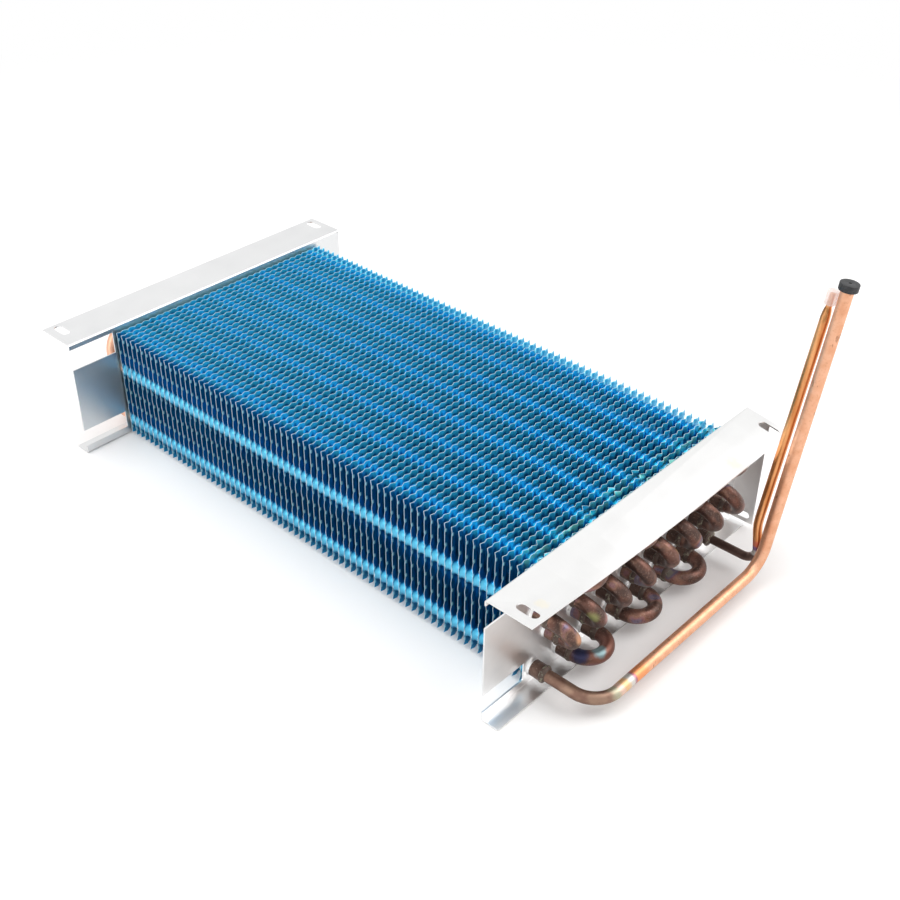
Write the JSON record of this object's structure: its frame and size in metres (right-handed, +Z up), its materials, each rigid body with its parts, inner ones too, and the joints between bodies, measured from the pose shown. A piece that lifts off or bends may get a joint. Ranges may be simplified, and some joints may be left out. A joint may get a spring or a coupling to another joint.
{
  "type": "evaporator coil",
  "caption": "Finned tube evaporator coil: blue fins on a circuit of copper tubes between two folded aluminium end plates, with two capped copper connecting lines.",
  "frame": {"origin": "middle of the whole outline seen from above, on the surface that the foot flanges stand on", "axes": "+X along the tubes towards the end with the connecting lines, +Y across the fins towards the side where the lines rise, +Z up"},
  "size_m": [0.4944, 0.2622, 0.2166],
  "materials": {
    "plate_aluminium": "mill",
    "blue_fins": "coated",
    "copper": "oxidised",
    "cap_rubber": "matt",
    "plug_plastic": "clear"
  },
  "bodies": {
    "root": {"near_end_plate": "plate_aluminium", "far_end_plate": "plate_aluminium", "hairpin_01": "copper", "hairpin_02": "copper", "hairpin_03": "copper", "hairpin_04": "copper", "hairpin_05": "copper", "hairpin_06": "copper", "hairpin_07": "copper", "hairpin_08": "copper", "hairpin_09": "copper", "hairpin_10": "copper", "hairpin_11": "copper", "hairpin_12": "copper", "hairpin_13": "copper", "hairpin_14": "copper", "hairpin_15": "copper", "hairpin_16": "copper", "bottom_bend_1": "copper", "bottom_bend_2": "copper", "bottom_bend_3": "copper", "middle_bend_1": "copper", "middle_bend_2": "copper", "middle_bend_3": "copper", "middle_bend_4": "copper", "middle_bend_5": "copper", "middle_bend_6": "copper", "middle_bend_7": "copper", "middle_bend_8": "copper", "top_bend_1": "copper", "top_bend_2": "copper", "top_bend_3": "copper", "top_bend_4": "copper", "fins_01": "blue_fins", "fins_02": "blue_fins", "fins_03": "blue_fins", "fins_04": "blue_fins", "fins_05": "blue_fins", "fins_06": "blue_fins", "fins_07": "blue_fins", "fins_08": "blue_fins", "fins_09": "blue_fins", "fins_10": "blue_fins", "fins_11": "blue_fins", "fins_12": "blue_fins", "fins_13": "blue_fins", "fins_14": "blue_fins", "suction_line": "copper", "liquid_line": "copper", "suction_cap": "cap_rubber", "liquid_plug": "plug_plastic"}
  },
  "joints": []
}
